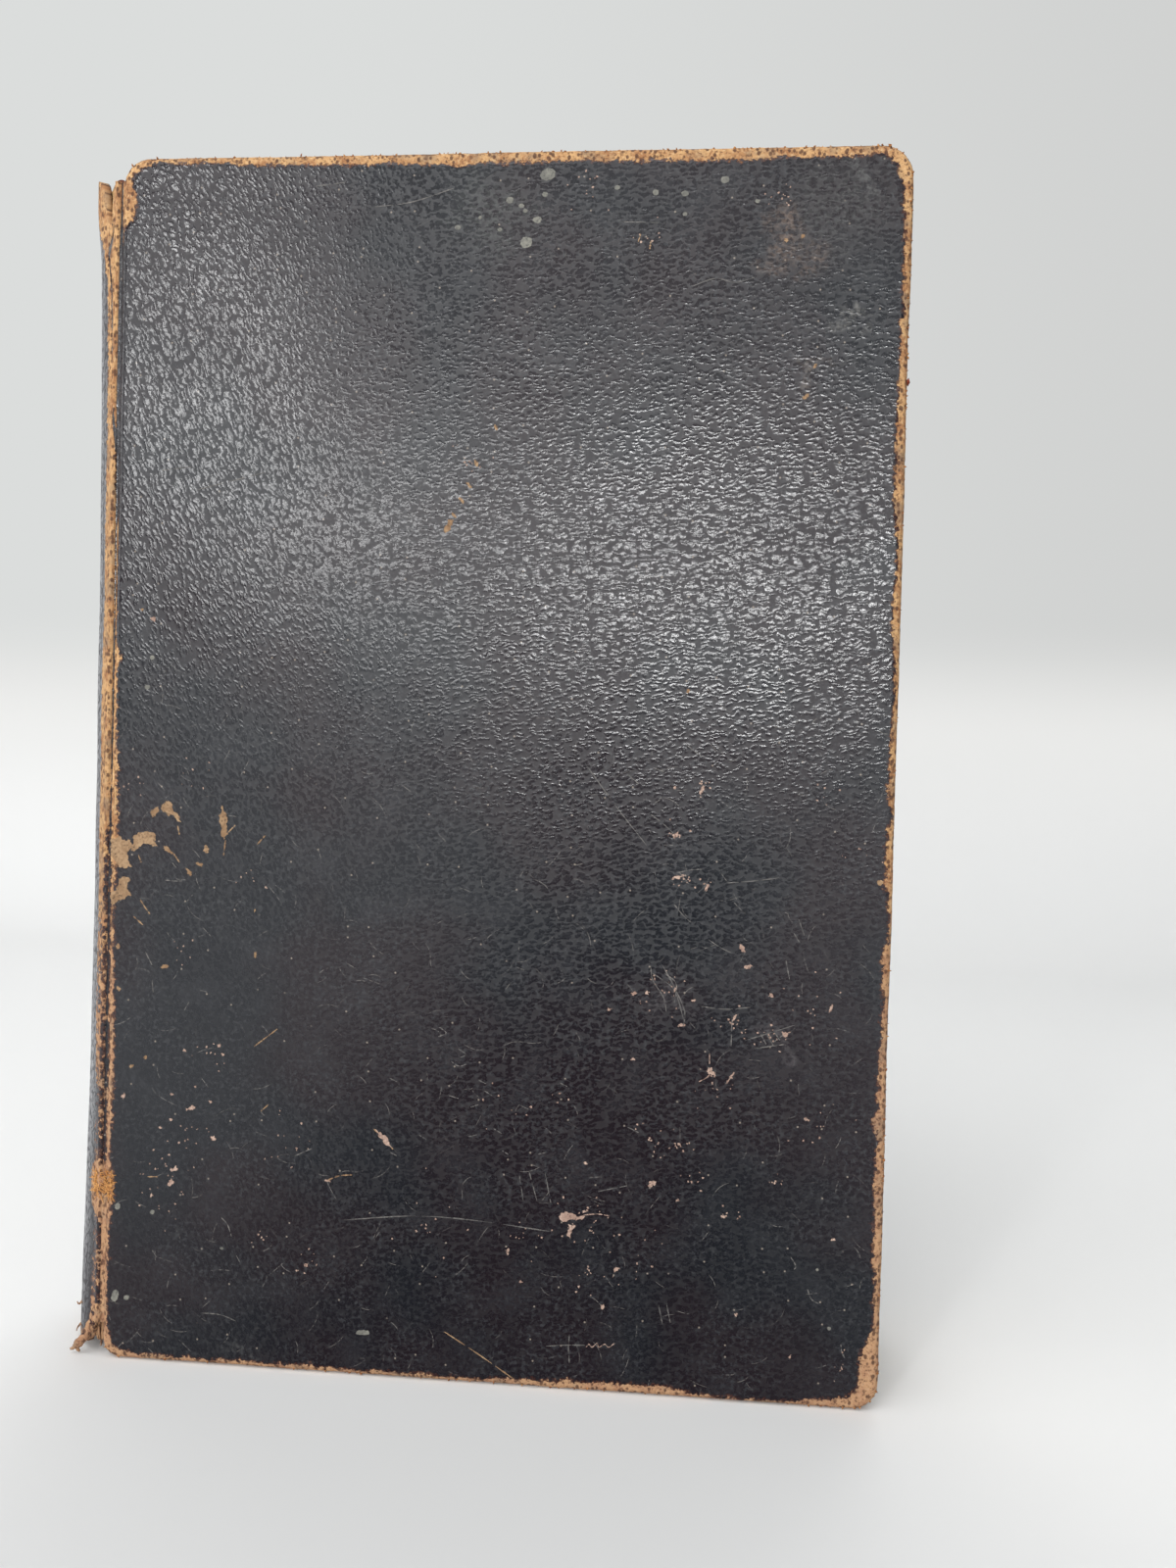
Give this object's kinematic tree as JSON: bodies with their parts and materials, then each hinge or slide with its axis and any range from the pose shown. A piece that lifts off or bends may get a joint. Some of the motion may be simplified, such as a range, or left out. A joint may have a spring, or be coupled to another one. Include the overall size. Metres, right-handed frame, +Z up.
{
  "type": "antique book",
  "caption": "Worn black leather book with a rounded spine, standing upright. Both covers swing open on their joints around one solid block of leaves.",
  "frame": {"origin": "middle of the underside of the closed book, on the surface it stands on", "axes": "+Z up the book's height towards its head, +X from the spine towards the fore edge, +Y from the front cover towards the back cover"},
  "size_m": [0.1498, 0.034, 0.218],
  "materials": {
    "leather": "worn black grained leather with tan bare edges",
    "page_edges": "matt aged page edges",
    "endpaper": "matt toned endpaper",
    "card": "matt brown pasteboard",
    "linen": "matt open-weave cloth",
    "band_thread": "wound faded thread"
  },
  "bodies": {
    "block": {"text_block": "page_edges", "front_flyleaf": "endpaper", "back_flyleaf": "endpaper", "sewing_tapes": "linen", "mull": "linen", "spine_liner": "card", "headband": "band_thread", "tailband": "band_thread", "spine_leather": "leather"},
    "front_cover": {"front_board": "card", "front_leather": "leather", "front_pastedown": "endpaper"},
    "back_cover": {"back_board": "card", "back_leather": "leather", "back_pastedown": "endpaper"}
  },
  "joints": [
    {"name": "front_joint", "type": "hinge", "parent": "block", "child": "front_cover", "pos_m": [-0.0651, -0.017, 0.109], "axis": [0, 0, -1], "range_deg": [0, 180]},
    {"name": "back_joint", "type": "hinge", "parent": "block", "child": "back_cover", "pos_m": [-0.0651, 0.017, 0.109], "axis": [0, 0, 1], "range_deg": [0, 180]}
  ]
}
